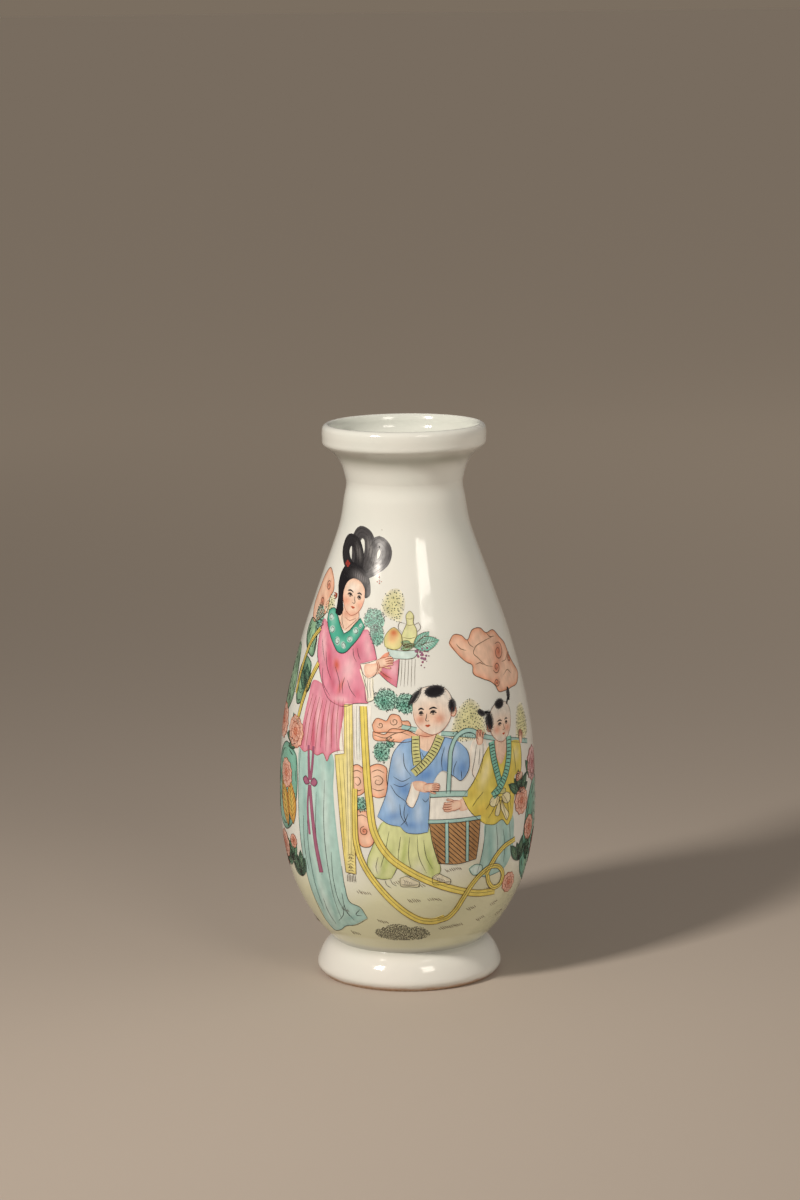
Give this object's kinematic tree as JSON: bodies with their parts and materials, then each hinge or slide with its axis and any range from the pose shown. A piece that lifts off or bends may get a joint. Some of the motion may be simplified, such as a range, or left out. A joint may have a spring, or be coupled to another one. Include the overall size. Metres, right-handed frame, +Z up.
{
  "type": "porcelain vase",
  "caption": "Baluster vase of white porcelain with a narrow neck, a dish-shaped mouth and a splayed foot, painted with figures and flowers in coloured enamels.",
  "frame": {"origin": "centre of the circle on which the foot rests", "axes": "+Z up along the wheel's axis; the main painted scene faces -Y"},
  "size_m": [0.1152, 0.1152, 0.25],
  "materials": {
    "glazed_porcelain": "glossy clear glaze with a faint greenish tint",
    "foot_porcelain": "glossy glaze that stops at a bare, buff ground ring",
    "overglaze_enamel": "coloured overglaze enamels, slightly raised and a little less glossy than the glaze"
  },
  "bodies": {
    "root": {"foot_ring": "foot_porcelain", "lower_body": "glazed_porcelain", "upper_body": "glazed_porcelain", "neck": "glazed_porcelain", "mouth_rim": "glazed_porcelain"}
  },
  "joints": []
}
